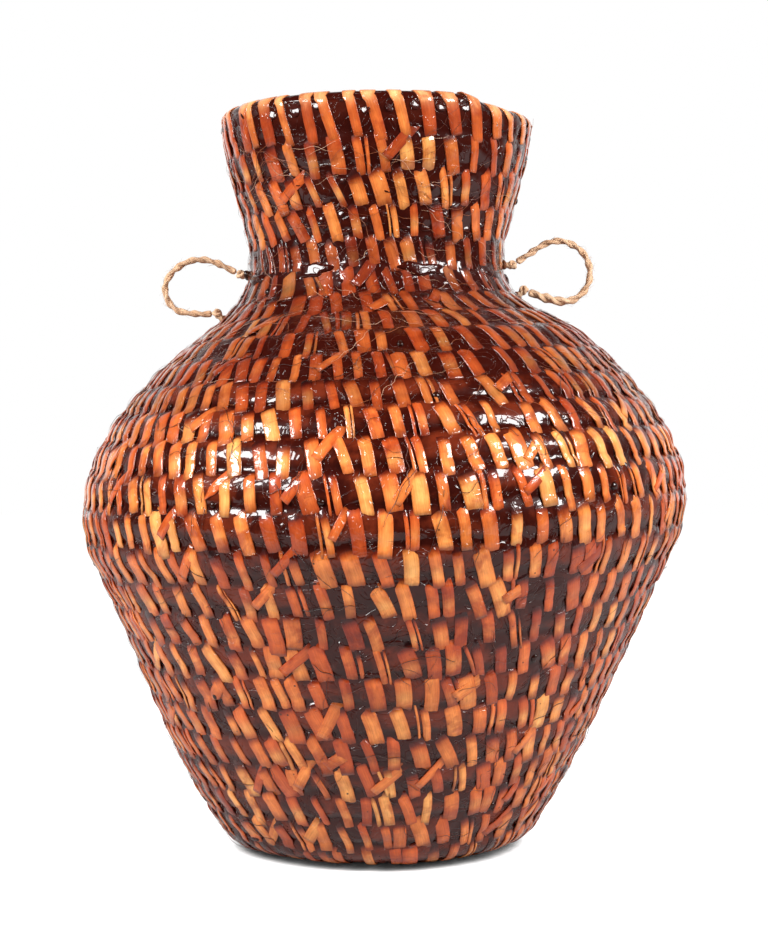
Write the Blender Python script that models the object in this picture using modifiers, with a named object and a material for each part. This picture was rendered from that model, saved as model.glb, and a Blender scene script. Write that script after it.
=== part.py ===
"""Pitched basket water jar: one spiral foundation coil forms the flat base, the wide belly, the
sloping shoulder and the flaring neck, a thin coat of pitch lines the inside, and two small cord
loops stand out at the neck as lugs, each held by two beads of pitch.

Metres, +Z up. The origin is the centre of the underside, and the front of the jar faces -Y.
"""

import math

import bmesh
import bpy
import numpy as np

# Outline of the outer surface: each height and inset is counted from the station before it.
FOOT_RADIUS = 0.0505
FOOT_SLOPE = math.radians(54.5)
BELLY_RADIUS = 0.1030
BELLY_HEIGHT = 0.1165
FLANK_DROP = 0.0148
FLANK_INSET = 0.0025
FLANK_SLOPE = math.radians(65.0)
SHOULDER_RISE = 0.0537
SHOULDER_INSET = 0.0331
SHOULDER_SLOPE = math.radians(139.5)
NECK_RADIUS = 0.0439
NECK_RISE = 0.0278
RIM_RADIUS = 0.0536
RIM_RISE = 0.0520
UPRIGHT = math.radians(90.0)
# How far the curve follows the slope at each end of each run, as a share of the run's chord.
PULLS = ((0.33, 0.33), (0.27, 0.29), (0.34, 0.33), (0.33, 0.40), (0.25, 0.42))

# The belly and shoulder have settled to the right: a sideways shift and a tilt about the Y axis.
SETTLE_SHIFT = 0.0026
SETTLE_TILT = math.radians(2.2)

# Foundation coil.
WHOLE_TURNS = 29
BASE_TURNS = 4
COIL_THICKNESS = 0.0090
CORE_RADIUS = 0.0085
HEEL_REACH = 0.0033
COIL_END_ANGLE = math.radians(-44.0)
COIL_END_SHARE = 0.28
FACETS = 28

# Pitch lining inside the coils.
LINING_THICKNESS = 0.0008
LINING_CLEARANCE = 0.0007
LINING_BELOW_RIM = 0.0030
LINING_TURN = math.radians(9.0)
LINING_STEP = 0.022

# Lug cords and the pitch beads that hold their ends.
CORD_DIAMETER = 0.0024
CORD_POINT_SPACING = 0.0052
BEAD_RADIUS = 0.0023
BEAD_SEGMENTS = 12
LEFT_ANGLE = math.radians(180.0)
RIGHT_ANGLE = 0.0
# Each bead sits on a coil, counted in turns down from the coil's end, and above (1) or below (-1) its middle.
LEFT_UPPER_BEAD = (6, -1.0)
LEFT_LOWER_BEAD = (8, -0.8)
RIGHT_UPPER_BEAD = (5, -1.0)
RIGHT_LOWER_BEAD = (7, 1.0)
LEFT_LOOP = (
    (-0.0577, 0.0, 0.1981),
    (-0.0650, 0.0, 0.1992),
    (-0.0721, 0.0, 0.1957),
    (-0.0752, 0.0, 0.1902),
    (-0.0741, 0.0, 0.1849),
    (-0.0698, 0.0, 0.1814),
    (-0.0622, 0.0, 0.1806),
)
RIGHT_LOOP = (
    (0.0496, 0.0, 0.2012),
    (0.0556, 0.0, 0.2048),
    (0.0616, 0.0, 0.2054),
    (0.0673, 0.0, 0.2024),
    (0.0700, 0.0, 0.1978),
    (0.0703, 0.0, 0.1927),
    (0.0684, 0.0, 0.1885),
    (0.0646, 0.0, 0.1855),
    (0.0598, 0.0, 0.1850),
    (0.0545, 0.0, 0.1863),
)

# Gap kept between pieces that touch.
SEAT_GAP = 0.0003

PATH_STEP = 0.0004
PITCH_ROUNDS = 8
CURVE_STEPS = 80


# Materials and collections.

def material(name, colour, roughness):
    made = bpy.data.materials.new(name)
    made.use_nodes = True
    shader = made.node_tree.nodes["Principled BSDF"]
    shader.inputs["Base Color"].default_value = (*colour, 1.0)
    shader.inputs["Roughness"].default_value = roughness
    shader.inputs["Metallic"].default_value = 0.0
    return made


def collection(name):
    made = bpy.data.collections.new(name)
    bpy.context.scene.collection.children.link(made)
    return made


def add_object(name, data, home, finish=None):
    made = bpy.data.objects.new(name, data)
    home.objects.link(made)
    if finish:
        made.data.materials.append(finish)
    return made


# The wall's outline, as radius and height along one meridian.

def bezier(start, start_slope, end, end_slope, start_pull, end_pull):
    start = np.array(start)
    end = np.array(end)
    chord = np.linalg.norm(end - start)
    leave = start + chord * start_pull * np.array((math.cos(start_slope), math.sin(start_slope)))
    arrive = end - chord * end_pull * np.array((math.cos(end_slope), math.sin(end_slope)))
    t = np.linspace(0.0, 1.0, CURVE_STEPS)[:, None]
    return (1 - t) ** 3 * start + 3 * (1 - t) ** 2 * t * leave + 3 * (1 - t) * t**2 * arrive + t**3 * end


def settled(radius, height, angle):
    """A station of the belly or shoulder, moved by the jar's lean at this angle."""
    side = math.cos(angle)
    return radius + SETTLE_SHIFT * side, height + math.tan(SETTLE_TILT) * radius * side


def outer_wall(angle):
    shoulder_height = BELLY_HEIGHT + SHOULDER_RISE
    neck_height = shoulder_height + NECK_RISE
    foot = (FOOT_RADIUS, 0.0)
    flank = settled(BELLY_RADIUS - FLANK_INSET, BELLY_HEIGHT - FLANK_DROP, angle)
    belly = settled(BELLY_RADIUS, BELLY_HEIGHT, angle)
    shoulder = settled(BELLY_RADIUS - SHOULDER_INSET, shoulder_height, angle)
    neck = (NECK_RADIUS, neck_height)
    rim = (RIM_RADIUS, neck_height + RIM_RISE)
    stations = (foot, flank, belly, shoulder, neck, rim)
    slopes = (FOOT_SLOPE, FLANK_SLOPE, UPRIGHT, SHOULDER_SLOPE, UPRIGHT, UPRIGHT)
    runs = []
    for k, (start_pull, end_pull) in enumerate(PULLS):
        run = bezier(stations[k], slopes[k], stations[k + 1], slopes[k + 1], start_pull, end_pull)
        runs.append(run[min(k, 1):])
    return np.vstack(runs)


def unit_tangents(path):
    steps = np.gradient(path, axis=0)
    return steps / np.linalg.norm(steps, axis=1)[:, None]


def offset_path(path, distance):
    """The path moved to its left, which is the inside of the jar."""
    along = unit_tangents(path)
    return path + distance * np.column_stack((-along[:, 1], along[:, 0]))


def lengths_along(path):
    return np.concatenate(([0.0], np.cumsum(np.linalg.norm(np.diff(path, axis=0), axis=1))))


def evenly_spaced(path, step):
    lengths = lengths_along(path)
    wanted = np.linspace(0.0, lengths[-1], int(round(lengths[-1] / step)) + 1)
    return np.column_stack([np.interp(wanted, lengths, path[:, k]) for k in (0, 1)])


def centre_path(angle):
    """The coil's middle from the jar's axis, over the flat base, round the heel and up the wall."""
    wall = offset_path(outer_wall(angle), COIL_THICKNESS / 2)
    along = unit_tangents(wall)
    slope = along[:, 1] / np.maximum(along[:, 0], 1e-6)
    above = wall[:, 1] - COIL_THICKNESS / 2 - HEEL_REACH * slope
    first = int(np.argmax(above > 0.0))
    reach = wall[first, 0]
    flat = np.arange(0.0, reach, PATH_STEP)
    heel = COIL_THICKNESS / 2 + HEEL_REACH * slope[first] * np.exp((flat - reach) / HEEL_REACH)
    return evenly_spaced(np.vstack((np.column_stack((flat, heel)), wall[first:])), PATH_STEP)


def row_numbers(path, pitch):
    """Counts rows along the path, giving a row more length where the path bends and coils would crowd."""
    lengths = lengths_along(path)
    ahead = np.minimum(lengths + pitch / 2, lengths[-1])
    behind = np.maximum(lengths - pitch / 2, 0.0)
    across = [np.interp(ahead, lengths, path[:, k]) - np.interp(behind, lengths, path[:, k]) for k in (0, 1)]
    straightness = np.hypot(*across) / (ahead - behind)
    gained = np.diff(lengths) * (straightness[1:] + straightness[:-1]) / 2
    rows = np.concatenate(([0.0], np.cumsum(gained))) / pitch
    return rows - np.interp(CORE_RADIUS, path[:, 0], rows)


def solve_pitch():
    """The pitch at which the whole turns and the tapered last one just reach the rim."""
    path = centre_path(UPRIGHT)
    pitch = lengths_along(path)[-1] / LAST_ROW
    for _ in range(PITCH_ROUNDS):
        pitch *= row_numbers(path, pitch)[-1] / LAST_ROW
    return pitch


LAST_ROW = WHOLE_TURNS + 0.5 + COIL_END_SHARE
PITCH = solve_pitch()
ROW_HEIGHT = PITCH - SEAT_GAP
AXIS_X = -SETTLE_SHIFT
MERIDIANS = {}


def meridian(angle):
    """The centre path at an angle, with its row numbers stretched to end where the rim does."""
    key = round(math.degrees(angle) % 360.0, 6)
    if key not in MERIDIANS:
        path = centre_path(angle)
        rows = row_numbers(path, PITCH)
        MERIDIANS[key] = path, rows * LAST_ROW / rows[-1]
    return MERIDIANS[key]


def on_meridian(angle, row):
    path, rows = meridian(angle)
    return np.array([np.interp(row, rows, path[:, k]) for k in (0, 1)])


def end_taper(row):
    """How thick the coil is at this row: whole until its last turn, then thinner to its end."""
    into_last = min(max(row - WHOLE_TURNS, 0.0), 1.0)
    return 1.0 + (COIL_END_SHARE - 1.0) * into_last


def coil_station(row):
    """Place, slope and thickness share of the coil where it has turned this far."""
    angle = COIL_END_ANGLE + 2 * math.pi * row
    share = end_taper(row)
    seat = row - (1.0 - share) / 2
    radius, height = on_meridian(angle, seat)
    step = on_meridian(angle, seat + 0.25) - on_meridian(angle, seat - 0.25)
    place = np.array((AXIS_X + radius * math.cos(angle), radius * math.sin(angle), height))
    return place, math.atan2(step[1], step[0]), share


def wall_frame(angle, row):
    """A point of the coil's middle on the wall, with the outward normal and the way up the wall."""
    radius, height = on_meridian(angle, row)
    step = on_meridian(angle, row + 0.25) - on_meridian(angle, row - 0.25)
    rise, run = step[1], step[0]
    size = math.hypot(rise, run)
    out = np.array((rise * math.cos(angle), rise * math.sin(angle), -run)) / size
    up = np.array((run * math.cos(angle), run * math.sin(angle), rise)) / size
    place = np.array((AXIS_X + radius * math.cos(angle), radius * math.sin(angle), height))
    return place, out, up


# Foundation coil, one node for each turn.

def coil_section(home):
    """The coil's six-sided section: flat outside and inside, with an edge towards each next row."""
    half = COIL_THICKNESS / 2
    tip = ROW_HEIGHT / 2
    outer_side = ((0.0, tip), (half, tip / 2), (half, -tip / 2))
    corners = outer_side + tuple((-across, -along) for across, along in outer_side)
    curve = bpy.data.curves.new("coil_section", "CURVE")
    curve.dimensions = "2D"
    spline = curve.splines.new("POLY")
    spline.points.add(len(corners) - 1)
    for point, (across, along) in zip(spline.points, corners):
        point.co = (across, along, 0.0, 1.0)
    spline.use_cyclic_u = True
    guide = add_object("coil_section", curve, home)
    guide.hide_render = True
    guide.display_type = "WIRE"
    return guide


def sweep(name, stations, section, home, finish):
    curve = bpy.data.curves.new(name, "CURVE")
    curve.dimensions = "3D"
    curve.twist_mode = "Z_UP"
    curve.bevel_mode = "OBJECT"
    curve.bevel_object = section
    curve.use_fill_caps = True
    spline = curve.splines.new("POLY")
    spline.points.add(len(stations) - 1)
    for point, (place, slope, share) in zip(spline.points, stations):
        point.co = (*place, 1.0)
        point.tilt = UPRIGHT - slope
        point.radius = share
    return add_object(name, curve, home, finish)


def between(first, second, nudge):
    """A station halfway along one facet, moved along it."""
    along = second[0] - first[0]
    along /= np.linalg.norm(along)
    middle = (first[0] + second[0]) / 2 + nudge * along
    return middle, (first[1] + second[1]) / 2, (first[2] + second[2]) / 2


def turn_stations(turn):
    """Each turn starts and ends in the middle of a facet, so its ends meet its neighbours' squarely."""
    corners = [coil_station(turn + (k + 0.5) / FACETS) for k in range(-1, FACETS + 1)]
    start = between(corners[0], corners[1], SEAT_GAP / 2)
    end = between(corners[-2], corners[-1], -SEAT_GAP / 2)
    return [start, *corners[1:-1], end]


def foundation_coil(home, guides, finish):
    section = coil_section(guides)
    for turn in range(WHOLE_TURNS):
        if turn < BASE_TURNS:
            name = f"base_coil_{turn + 1:02d}"
        else:
            name = f"wall_coil_{turn + 1 - BASE_TURNS:02d}"
        sweep(name, turn_stations(turn), section, home, finish)
    sweep("rim_coil", turn_stations(WHOLE_TURNS), section, home, finish)


def start_knot(home, finish):
    """The knot at the middle of the base, a flat snail whose edge the first turn lies against."""
    inset = ROW_HEIGHT / 2 + SEAT_GAP
    centres = np.array([coil_station((k + 0.5) / FACETS)[0][:2] for k in range(-1, FACETS + 1)])
    centres -= (AXIS_X, 0.0)
    along = np.gradient(centres, axis=0)
    along /= np.linalg.norm(along, axis=1)[:, None]
    inward = np.column_stack((-along[:, 1], along[:, 0]))
    edge = centres + inset * inward
    step_middle = (centres[0] + centres[1]) / 2 - SEAT_GAP / 2 * along[0]
    step_inner = step_middle + inset * inward[0]
    step_outer = step_middle - ROW_HEIGHT / 2 * inward[0]
    ring = [step_inner, *edge[1:-2], step_outer]
    curve = bpy.data.curves.new("base_start_knot", "CURVE")
    curve.dimensions = "2D"
    curve.fill_mode = "BOTH"
    curve.extrude = COIL_THICKNESS / 2
    spline = curve.splines.new("POLY")
    spline.points.add(len(ring) - 1)
    for point, place in zip(spline.points, ring):
        point.co = (place[0], place[1], 0.0, 1.0)
    spline.use_cyclic_u = True
    made = add_object("base_start_knot", curve, home, finish)
    made.location = (AXIS_X, 0.0, COIL_THICKNESS / 2)


# Pitch lining.

def lining_rows():
    """Row numbers of the lining's rings: close together where the wall bends, wide apart elsewhere."""
    path, rows = meridian(UPRIGHT)
    along = unit_tangents(path)
    heading = np.unwrap(np.arctan2(along[:, 1], along[:, 0]))
    last = LAST_ROW - LINING_BELOW_RIM / PITCH
    start = int(np.argmax(rows > 0.0))
    chosen = [start]
    for i in range(start, len(path)):
        turned = abs(heading[i] - heading[chosen[-1]])
        gone = (i - chosen[-1]) * PATH_STEP
        if rows[i] < last and (turned > LINING_TURN or gone > LINING_STEP):
            chosen.append(i)
    return [rows[i] for i in chosen] + [last]


def lining_ring(row):
    points = []
    depth = COIL_THICKNESS / 2 + LINING_CLEARANCE
    for k in range(FACETS):
        angle = COIL_END_ANGLE + 2 * math.pi * (k + 0.5) / FACETS
        place, out, _ = wall_frame(angle, row)
        points.append(place - depth * out)
    return points


def pitch_lining(home, finish):
    """An open cup of one skin, thickened inwards."""
    mesh = bpy.data.meshes.new("pitch_lining")
    build = bmesh.new()
    centre = build.verts.new((AXIS_X, 0.0, COIL_THICKNESS + LINING_CLEARANCE))
    rings = [[build.verts.new(point) for point in lining_ring(row)] for row in lining_rows()]
    for k in range(FACETS):
        after = (k + 1) % FACETS
        build.faces.new((centre, rings[0][after], rings[0][k]))
        for low, high in zip(rings, rings[1:]):
            build.faces.new((low[k], low[after], high[after], high[k]))
    build.to_mesh(mesh)
    build.free()
    made = add_object("pitch_lining", mesh, home, finish)
    shell = made.modifiers.new("coat", "SOLIDIFY")
    shell.thickness = LINING_THICKNESS
    shell.offset = -1.0
    shell.use_even_offset = True
    return made


# Lugs: two cord loops, each held by two beads of pitch.

def bead_place(angle, seat):
    """A bead's middle, on the outer face of the coil that its seat names."""
    turns_down, along = seat
    row = WHOLE_TURNS + 1 - turns_down + ((angle - COIL_END_ANGLE) / (2 * math.pi)) % 1.0
    place, out, up = wall_frame(angle, row)
    reach = COIL_THICKNESS / 2 + SEAT_GAP + BEAD_RADIUS
    return place + reach * out + along * (ROW_HEIGHT / 4) * up


def bead(name, place, home, finish):
    mesh = bpy.data.meshes.new(name)
    build = bmesh.new()
    rings = BEAD_SEGMENTS // 2 + 1
    bmesh.ops.create_uvsphere(build, u_segments=BEAD_SEGMENTS, v_segments=rings, radius=BEAD_RADIUS)
    build.to_mesh(mesh)
    build.free()
    made = add_object(name, mesh, home, finish)
    made.location = place
    made.data.shade_smooth()


def smooth_route(points, spacing):
    """Points read at even spacing from a smooth curve through the route's own points."""
    points = np.array(points)
    ends = np.vstack((2 * points[0] - points[1], points, 2 * points[-1] - points[-2]))
    dense = []
    for a, b, c, d in zip(ends, ends[1:], ends[2:], ends[3:]):
        for t in np.linspace(0.0, 1.0, 20, endpoint=False):
            bend = 2 * b + (c - a) * t + (2 * a - 5 * b + 4 * c - d) * t**2 + (3 * b - a - 3 * c + d) * t**3
            dense.append(bend / 2)
    dense = np.array(dense + [points[-1]])
    lengths = lengths_along(dense)
    wanted = np.linspace(0.0, lengths[-1], int(round(lengths[-1] / spacing)) + 1)
    return np.column_stack([np.interp(wanted, lengths, dense[:, k]) for k in range(3)])


def off_bead(place, towards):
    """Where a cord's end stops, just clear of its bead."""
    ray = np.array(towards) - place
    return place + (BEAD_RADIUS + SEAT_GAP) * ray / np.linalg.norm(ray)


def lug(side, loop, upper, lower, home, cord_finish, pitch_finish):
    bead(f"{side}_lug_upper_bead", upper, home, pitch_finish)
    bead(f"{side}_lug_lower_bead", lower, home, pitch_finish)
    pin = bpy.data.objects.new(f"{side}_lug_axis", None)
    home.objects.link(pin)
    pin.location = (upper + lower) / 2
    route = smooth_route((off_bead(upper, loop[0]), *loop, off_bead(lower, loop[-1])), CORD_POINT_SPACING)
    curve = bpy.data.curves.new(f"{side}_lug_cord", "CURVE")
    curve.dimensions = "3D"
    curve.bevel_depth = CORD_DIAMETER / 2
    curve.bevel_resolution = 2
    curve.use_fill_caps = True
    spline = curve.splines.new("POLY")
    spline.points.add(len(route) - 1)
    for point, place in zip(spline.points, route):
        point.co = (*(place - np.array(pin.location)), 1.0)
    cord = add_object(f"{side}_lug_cord", curve, home, cord_finish)
    cord.parent = pin


def main():
    for old in list(bpy.data.objects):
        bpy.data.objects.remove(old, do_unlink=True)
    jar = collection("pitched_basket_water_jar")
    guides = collection("guides")
    coil_finish = material("coil", (0.42, 0.13, 0.045), 0.35)
    pitch_finish = material("pitch", (0.035, 0.010, 0.006), 0.15)
    cord_finish = material("cord", (0.62, 0.38, 0.20), 0.85)
    foundation_coil(jar, guides, coil_finish)
    start_knot(jar, coil_finish)
    pitch_lining(jar, pitch_finish)
    left_upper = bead_place(LEFT_ANGLE, LEFT_UPPER_BEAD)
    left_lower = bead_place(LEFT_ANGLE, LEFT_LOWER_BEAD)
    lug("left", LEFT_LOOP, left_upper, left_lower, jar, cord_finish, pitch_finish)
    right_upper = bead_place(RIGHT_ANGLE, RIGHT_UPPER_BEAD)
    right_lower = bead_place(RIGHT_ANGLE, RIGHT_LOWER_BEAD)
    lug("right", RIGHT_LOOP, right_upper, right_lower, jar, cord_finish, pitch_finish)


main()
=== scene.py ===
"""Looks of the pitched basket water jar: the coiled wall under its coat of pitch, the splint
stitches over every coil, the overcast rim, the two twisted cord lugs, and a plain studio.

Metres, in the CAD frame. The front of the jar faces -Y, and the photograph looks along +Y.
"""

import bisect
import math
from math import radians

import bmesh
import bpy
import numpy as np
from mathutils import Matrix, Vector


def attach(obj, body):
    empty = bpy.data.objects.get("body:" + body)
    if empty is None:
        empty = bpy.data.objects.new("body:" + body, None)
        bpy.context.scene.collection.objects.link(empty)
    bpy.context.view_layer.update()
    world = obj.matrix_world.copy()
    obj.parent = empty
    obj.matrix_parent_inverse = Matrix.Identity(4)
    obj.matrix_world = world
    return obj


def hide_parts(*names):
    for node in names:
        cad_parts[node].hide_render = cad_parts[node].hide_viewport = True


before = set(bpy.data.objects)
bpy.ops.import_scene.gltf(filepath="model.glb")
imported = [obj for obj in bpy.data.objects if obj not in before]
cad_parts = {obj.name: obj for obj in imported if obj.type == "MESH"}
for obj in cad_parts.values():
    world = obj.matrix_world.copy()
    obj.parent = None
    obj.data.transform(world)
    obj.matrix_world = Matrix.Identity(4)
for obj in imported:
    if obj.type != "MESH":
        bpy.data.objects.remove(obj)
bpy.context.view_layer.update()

# Outline, coil and lug values, the same as in the CAD source.
FOOT_RADIUS = 0.0505
FOOT_SLOPE = radians(54.5)
BELLY_RADIUS = 0.1030
BELLY_HEIGHT = 0.1165
FLANK_DROP = 0.0148
FLANK_INSET = 0.0025
FLANK_SLOPE = radians(65.0)
SHOULDER_RISE = 0.0537
SHOULDER_INSET = 0.0331
SHOULDER_SLOPE = radians(139.5)
NECK_RADIUS = 0.0439
NECK_RISE = 0.0278
RIM_RADIUS = 0.0536
RIM_RISE = 0.0520
UPRIGHT = radians(90.0)
PULLS = ((0.33, 0.33), (0.27, 0.29), (0.34, 0.33), (0.33, 0.40), (0.25, 0.42))
SETTLE_SHIFT = 0.0026
SETTLE_TILT = radians(2.2)
WHOLE_TURNS = 29
COIL_THICKNESS = 0.0090
CORE_RADIUS = 0.0085
HEEL_REACH = 0.0033
COIL_END_ANGLE = radians(-44.0)
COIL_END_SHARE = 0.28
LAST_ROW = WHOLE_TURNS + 0.5 + COIL_END_SHARE
AXIS_X = -SETTLE_SHIFT
HALF_COIL = COIL_THICKNESS / 2
LINING_CLEARANCE = 0.0007
LINING_BELOW_RIM = 0.0030
LEFT_UPPER = (-0.04929, 0.0, 0.19412)
LEFT_LOWER = (-0.05747, 0.0, 0.18082)
RIGHT_UPPER = (0.04380, 0.0, 0.19741)
RIGHT_LOWER = (0.04774, 0.0, 0.18882)
LEFT_LOOP = ((-0.0577, 0.0, 0.1981), (-0.0650, 0.0, 0.1992), (-0.0721, 0.0, 0.1957), (-0.0752, 0.0, 0.1902),
             (-0.0741, 0.0, 0.1849), (-0.0698, 0.0, 0.1814), (-0.0622, 0.0, 0.1806))
RIGHT_LOOP = ((0.0496, 0.0, 0.2012), (0.0556, 0.0, 0.2048), (0.0616, 0.0, 0.2054), (0.0673, 0.0, 0.2024),
              (0.0700, 0.0, 0.1978), (0.0703, 0.0, 0.1927), (0.0684, 0.0, 0.1885), (0.0646, 0.0, 0.1855),
              (0.0598, 0.0, 0.1850), (0.0545, 0.0, 0.1863))

rng = np.random.default_rng(11)
TAU = 2 * math.pi


def add_object(name, data):
    made = bpy.data.objects.new(name, data)
    bpy.context.scene.collection.objects.link(made)
    return made


# Camera.

EYE = (-0.0002, -0.681, 0.146)
LOOKS_DOWN = radians(1.46)
LENS = 76.6
SENSOR_WIDTH = 36.0
CLIP_START = 0.01

camera_data = bpy.data.cameras.new("camera")
camera_data.lens = LENS
camera_data.sensor_width = SENSOR_WIDTH
camera_data.clip_start = CLIP_START
camera = add_object("camera", camera_data)
camera.location = EYE
camera.rotation_euler = (math.pi / 2 - LOOKS_DOWN, 0.0, 0.0)
bpy.context.scene.camera = camera


# Node materials.

RAMP_INPUTS = ("Value", "From Min", "From Max", "To Min", "To Max")
MIX_INPUTS = (0, 6, 7)
MIX_RESULT = 2


class Nodes:
    """The node tree of a material or world, with short ways to add nodes and link them."""

    def __init__(self, owner):
        owner.use_nodes = True
        self.tree = owner.node_tree
        self.tree.nodes.clear()

    def fill(self, made, inputs):
        for key, value in inputs.items():
            if isinstance(value, bpy.types.NodeSocket):
                self.tree.links.new(value, made.inputs[key])
            else:
                made.inputs[key].default_value = value

    def add(self, kind, inputs=None, **settings):
        made = self.tree.nodes.new("ShaderNode" + kind)
        for name, value in settings.items():
            setattr(made, name, value)
        self.fill(made, inputs or {})
        return made

    def place(self):
        return self.add("TexCoord").outputs["Object"]

    def noise(self, scale, detail=3.0, roughness=0.5, distortion=0.0, where=None):
        where = self.place() if where is None else where
        inputs = {"Vector": where, "Scale": scale, "Detail": detail, "Roughness": roughness}
        return self.add("TexNoise", {**inputs, "Distortion": distortion}).outputs["Fac"]

    def ramp(self, *values):
        """A soft step; the values are what it follows, its low and high, and what it gives at both."""
        made = self.add("MapRange", dict(zip(RAMP_INPUTS, values)))
        made.interpolation_type = "SMOOTHSTEP"
        return made.outputs["Result"]

    def math(self, operation, a, b=0.0):
        return self.add("Math", {0: a, 1: b}, operation=operation).outputs[0]

    def plus(self, a, b):
        return self.math("ADD", a, b)

    def minus(self, a, b):
        return self.math("SUBTRACT", a, b)

    def times(self, a, b):
        return self.math("MULTIPLY", a, b)

    def mix(self, share, a, b, blend="MIX"):
        made = self.add("Mix", data_type="RGBA", blend_type=blend)
        colours = [value if isinstance(value, bpy.types.NodeSocket) else (*value, 1.0) for value in (a, b)]
        self.fill(made, dict(zip(MIX_INPUTS, (share, *colours))))
        return made.outputs[MIX_RESULT]

    def tinted(self, a, b):
        return self.mix(1.0, a, b, "MULTIPLY")

    def bump(self, height, distance, strength):
        return self.add("Bump", {"Height": height, "Distance": distance, "Strength": strength}).outputs[0]

    def attribute(self, name, output="Fac"):
        return self.add("Attribute", attribute_name=name).outputs[output]

    def along_fibre(self, stretch):
        """Coordinates in which noise runs in lines along the fibres."""
        return self.add("Mapping", {"Vector": self.attribute("fibre", "Vector"), "Scale": stretch}).outputs[0]

    def ripples(self, distance, strength):
        """The skin of the pitch: slow flows, finer waves, and narrow creases through both."""
        flow = self.noise(62.0, detail=1.0, distortion=1.2)
        wave = self.noise(175.0, detail=1.0, distortion=1.5)
        fold = self.math("ABSOLUTE", self.minus(self.noise(95.0, detail=1.0, distortion=2.5), 0.5))
        crease = self.ramp(fold, 0.0, 0.035)
        height = self.plus(self.times(flow, 0.42), self.times(wave, 0.11))
        return self.bump(self.plus(height, self.times(crease, 0.11)), distance, strength)


class Look(Nodes):
    """A material with a Principled shader."""

    def __init__(self, name):
        self.material = bpy.data.materials.new(name)
        super().__init__(self.material)
        self.shader = self.add("BsdfPrincipled")
        self.surface = self.add("OutputMaterial", {"Surface": self.shader.outputs["BSDF"]})

    def finish(self, inputs):
        self.fill(self.shader, inputs)
        return self.material


def glaze(roughness, ior):
    return {"Coat Weight": 1.0, "Coat Roughness": roughness, "Coat IOR": ior}


def splint_material():
    look = Look("splint")
    grain = look.noise(1.0, roughness=0.6, where=look.along_fibre((2600.0, 170.0, 37.0)))
    streaks = look.mix(look.ramp(grain, 0.3, 0.7), (0.86, 0.78, 0.70), (1.08, 1.06, 1.04))
    mottle = look.ramp(look.noise(150.0, roughness=0.55), 0.32, 0.68)
    mottle = look.mix(mottle, (0.76, 0.66, 0.60), (1.08, 1.10, 1.12))
    coloured = look.tinted(look.tinted(look.attribute("tint", "Color"), streaks), mottle)
    film = look.ramp(look.noise(75.0, detail=4.0, roughness=0.6, distortion=0.6), 0.49, 0.67, 0.0, 0.85)
    filmed = look.mix(film, coloured, look.tinted(coloured, (0.55, 0.30, 0.21)))
    cells = look.add("TexVoronoi", {"Vector": look.place(), "Scale": 330.0}).outputs
    dot = look.ramp(cells["Distance"], 0.06, 0.15, 1.0, 0.0)
    chosen = look.ramp(look.math("FRACT", look.times(cells["Color"], 7.0)), 0.86, 0.90)
    specked = look.mix(look.times(dot, chosen), filmed, (0.035, 0.010, 0.006))
    crack = look.ramp(look.noise(1.0, detail=2.0, where=look.along_fibre((60.0, 900.0, 11.0))), 0.66, 0.70)
    height = look.minus(look.times(grain, 0.5), crack)
    return look.finish({"Base Color": specked, "Roughness": 0.42, "Specular IOR Level": 0.15,
                        "Normal": look.bump(height, 0.00022, 0.8),
                        "Coat Normal": look.ripples(0.0018, 0.65), **glaze(0.05, 1.43)})


def pitch_material(name, thin, thick, ripple):
    """Pitch over the rods: reddish where the coat is thin over a coil's crown, near black in the grooves,
    where the pitch lies thick and painted shade darkens them as well.
    """
    look = Look(name)
    patch = look.ramp(look.noise(60.0, detail=4.0, roughness=0.6, distortion=0.4), 0.42, 0.62)
    # The thick colour in the grooves is partly painted shade.
    share = look.times(patch, look.ramp(look.attribute("crown"), 0.28, 0.95))
    grained = look.mix(look.noise(420.0, roughness=0.6), thin, tuple(0.45 * c for c in thin))
    broken = look.ramp(look.attribute("wet"), 0.0, 1.0, 0.8, 0.5)
    return look.finish({"Base Color": look.mix(share, thick, grained), "Roughness": 0.32,
                        "Specular IOR Level": 0.05, "Normal": look.bump(look.noise(300.0), 0.0004, 0.5),
                        "Coat Normal": look.ripples(ripple, broken), **glaze(0.035, 1.40)})


def fibre_material():
    look = Look("loose_fibre")
    shade = look.mix(look.noise(700.0, detail=2.0), (0.75, 0.70, 0.66), (1.2, 1.15, 1.1))
    return look.finish({"Base Color": look.tinted(look.attribute("tint", "Color"), shade), "Roughness": 0.30,
                        "Normal": look.bump(look.noise(1500.0, detail=2.0), 0.0001, 0.5)})


def cord_material():
    """Twisted bast: fine fibres along each ply, tan, with darker brown in the creases between them, partly
    the fibres' own colour and partly painted shade.
    """
    look = Look("cord")
    stretched = look.along_fibre((7000.0, 260.0, 7000.0))
    strands = look.noise(1.0, detail=4.0, roughness=0.65, where=stretched)
    pale = look.mix(look.ramp(look.noise(240.0), 0.35, 0.7), (0.92, 0.62, 0.39), (0.76, 0.46, 0.26))
    # Painted shade in part: darker brown where the fibres lie low.
    colour = look.mix(look.ramp(strands, 0.56, 0.36), pale, (0.50, 0.24, 0.11))
    return look.finish({"Base Color": colour, "Roughness": 0.75, "Sheen Weight": 0.25, "Sheen Roughness": 0.5,
                        "Normal": look.bump(strands, 0.00035, 0.9)})


SPLINT = splint_material()
WALL_PITCH = pitch_material("pitched_coil", (0.170, 0.022, 0.007), (0.030, 0.0028, 0.0013), 0.0021)
LINING_PITCH = pitch_material("pitch_lining", (0.060, 0.018, 0.010), (0.012, 0.005, 0.004), 0.0012)
BEAD_PITCH = pitch_material("pitch_bead", (0.090, 0.016, 0.007), (0.020, 0.004, 0.002), 0.0006)
BEAD_CORD = pitch_material("pitched_knot", (0.420, 0.190, 0.085), (0.150, 0.048, 0.020), 0.0009)
CORD = cord_material()
FIBRE = fibre_material()


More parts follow.
